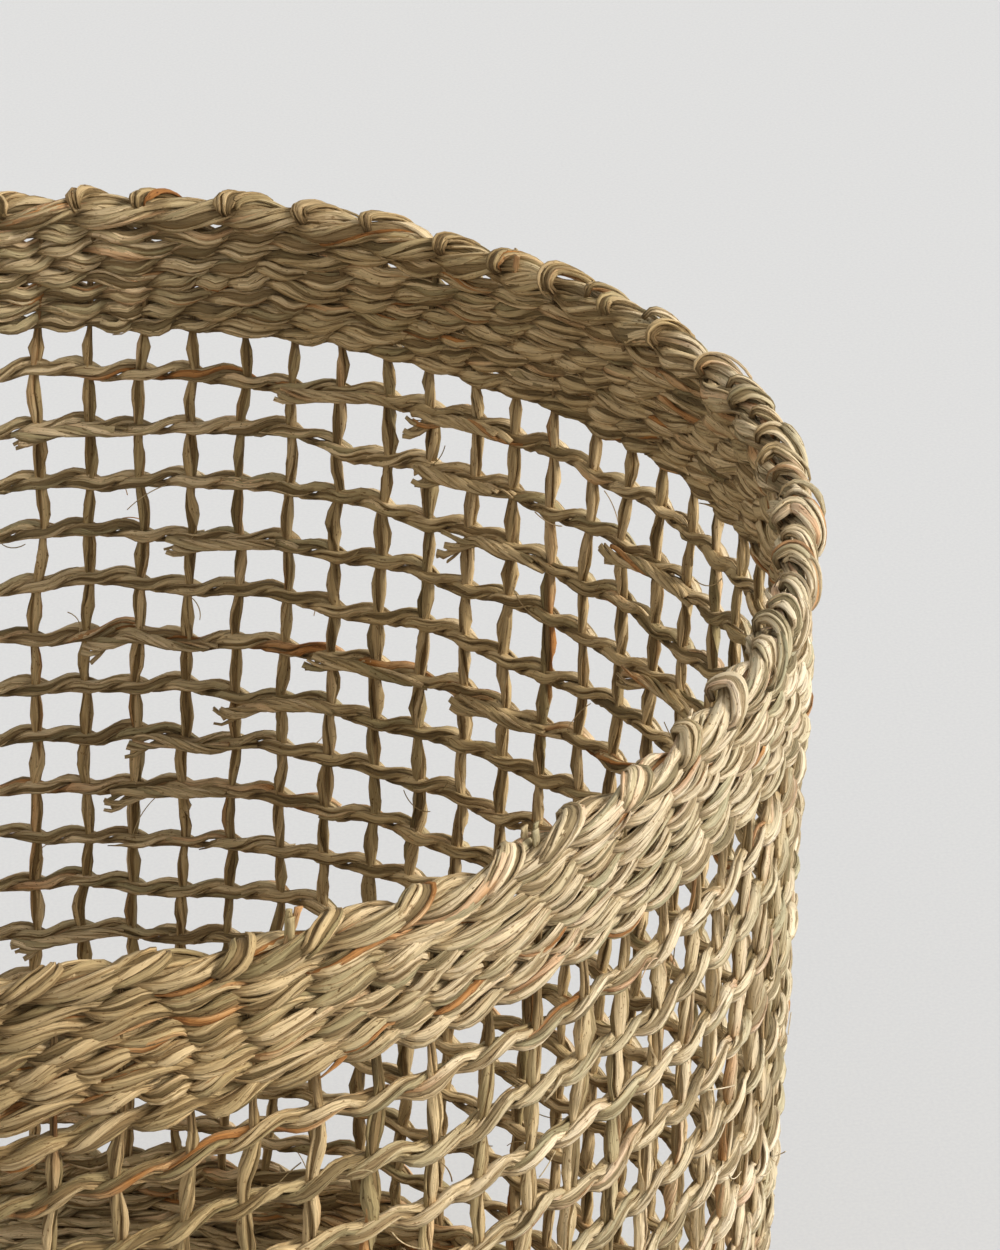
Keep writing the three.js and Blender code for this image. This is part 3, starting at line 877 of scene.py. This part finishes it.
# Curls that stand out on the right of the rim
for degrees in (66, 71.5, 77, 84, 96, 118):
    angle = math.radians(degrees)
    knot(group_at(angle * WALL_RADIUS), angle,
         bow=rng.uniform(2, 4), tail=rng.uniform(6, 10), reach=rng.uniform(5.6, 6.4),
         blades=6, width=rng.uniform(2.4, 3.4),
         low=rng.uniform(-1.2, -0.8), high=rng.uniform(1.2, 1.8))

# Cut ends that stick up from the border: where, how many and how high
for degrees, count, rise in (
    (16.5, 3, 7.5), (35.0, 3, 4.5), (52.8, 4, 4.0), (134.0, 3, 3.0), (250.0, 3, 5.0),
):
    angle = math.radians(degrees)
    for _ in range(count):
        start = angle + rng.uniform(-1.6, 1.6) / WALL_RADIUS
        z = np.linspace(-3, rise * rng.uniform(0.7, 1.0), 8)
        lean = rng.uniform(-0.25, 0.25)
        across = start + lean * z / WALL_RADIUS
        radius = wall_radius(angle, ROLL_HEIGHT) + rng.uniform(-1.5, 2.0) + 0.1 * z
        path = around(across, radius, ROLL_HEIGHT + rim_wave(angle) + 2.2 + z)
        group_at(angle * WALL_RADIUS).blade(
            path, outward(across), rng.uniform(0.7, 1.1), THIN_BLADE, roll=rng.uniform(-0.5, 0.5))
pieces += groups


# Base: two mats of woven rounds with spokes between them

ROUND_WAVE = 13.4  # length of a wave along a round, about the stakes' pitch
EDGE_REACH = 0.4  # how far past the mat's own radius the middle of the outermost round lies


def round_run(radius, height, waves, lift, phase, wobble):
    """Middle line of a round of a mat, which goes slightly up and down and in and out."""

    def run(places):
        angle = places / radius
        turn = waves * angle / 2 + phase
        z = height + lift * np.cos(turn * 2)
        r = radius + 0.5 * np.sin(turn * 2) + wobble(angle)
        size = 0.8 + 0.2 * np.abs(np.cos(turn))
        return around(angle, r, z), upward(len(places)), size

    return run


def mat(name, node, height, lift):
    piece = Piece(name, node, "base_mat")
    for i in range(int(BASE_RADIUS / BASE_ROUND_PITCH) + 1):
        radius = BASE_RADIUS + EDGE_REACH - i * BASE_ROUND_PITCH
        waves = max(6, 2 * round(math.pi * radius / ROUND_WAVE))
        run = round_run(radius, height, waves, lift, rng.uniform(0, 6), wander(2, 12, 0.25))
        strand(piece, run, 0.0, FULL_TURN * radius, step=min(3.7, radius / 4),
               slots=2, spread=(1.5, 0.3), blade=(1.75, 0.6),
               twist=FULL_TURN / 90 * either_way(), loose=0.1,
               lengths=(min(170, radius), min(360, 2 * radius)))
    return piece


def spoke(group):
    """A bundle from near the middle to the foot, below the middle of a group of stakes."""
    number = f"{group + 1:02d}"
    piece = Piece(f"base_spoke_bundle_{number}", f"base_spoke_{number}", "base_spokes")
    angle = (STAKE_PHASE - 0.5 + (group + 0.5) * STAKES_PER_GROUP) * STAKE_ANGLE
    start, length = 16.0, 155.0

    def run(places):
        size = np.clip(places / 60, 0.7, 1.0)
        return around(angle, places, SPOKE_HEIGHT), upward(len(places)), size

    strand(piece, run, start, length, step=6.0,
           slots=3, spread=(2.1, 0.2), blade=(1.4, 0.8), closed=False, loose=0)
    return piece


pieces.append(mat("base_underside_weave", "base_underside_mat", UNDERSIDE_HEIGHT, 0.2))
pieces.append(mat("base_upper_weave", "base_upper_mat", UPPER_MAT_HEIGHT, 0.25))
pieces += [spoke(group) for group in range(GROUPS)]

for piece in pieces:
    piece.finish()

# Floor, light and camera, in metres
FLOOR = 6
floor_mesh = bpy.data.meshes.new("floor")
floor_mesh.from_pydata(
    [(-FLOOR, -FLOOR, 0), (FLOOR, -FLOOR, 0), (FLOOR, FLOOR, 0), (-FLOOR, FLOOR, 0)],
    [], [(0, 1, 2, 3)])
floor = bpy.data.objects.new("floor", floor_mesh)
floor_mesh.materials.append(floor_material())
bpy.context.scene.collection.objects.link(floor)

world = bpy.data.worlds.new("studio")
bpy.context.scene.world = world
nodes = Nodes(world)
sky = nodes.add("ShaderNodeBackground", {"Color": linear(240, 241, 243), "Strength": 0.57})
backdrop = nodes.add("ShaderNodeBackground", {"Color": linear(226, 226, 225), "Strength": 1.0})
mixed = nodes.add("ShaderNodeMixShader", {
    "Fac": nodes.seen(), 1: sky.outputs["Background"], 2: backdrop.outputs["Background"]})
nodes.add("ShaderNodeOutputWorld", {"Surface": mixed.outputs["Shader"]})

for name, strength, softness, direction in (
    ("key", 3.4, 22, (-0.77, 0.3, -0.56)),
    ("fill", 0.25, 60, (0.5, 0.7, -0.5)),
):
    lamp = bpy.data.lights.new(name, "SUN")
    lamp.energy = strength
    lamp.angle = math.radians(softness)
    lamp.color = (1.0, 0.985, 0.96)
    light = bpy.data.objects.new(name, lamp)
    light.rotation_euler = Vector(direction).to_track_quat("-Z", "Y").to_euler()
    bpy.context.scene.collection.objects.link(light)

CAMERA_YAW, CAMERA_PITCH = 0.1051, 0.5191
CAMERA_Y, CAMERA_Z = -1.0225, 0.8779
camera_data = bpy.data.cameras.new("camera")
camera_data.sensor_fit = "VERTICAL"
camera_data.sensor_height = 36
camera_data.lens = 150.57
camera_data.clip_end = 50
camera = bpy.data.objects.new("camera", camera_data)
forward = Vector((
    math.sin(CAMERA_YAW) * math.cos(CAMERA_PITCH),
    math.cos(CAMERA_YAW) * math.cos(CAMERA_PITCH),
    -math.sin(CAMERA_PITCH)))
camera.location = ((BASE_X + WALL_LEAN) * MM, CAMERA_Y, CAMERA_Z)
camera.rotation_euler = forward.to_track_quat("-Z", "Y").to_euler()
bpy.context.scene.collection.objects.link(camera)
bpy.context.scene.camera = camera
bpy.context.scene.view_settings.view_transform = "Standard"
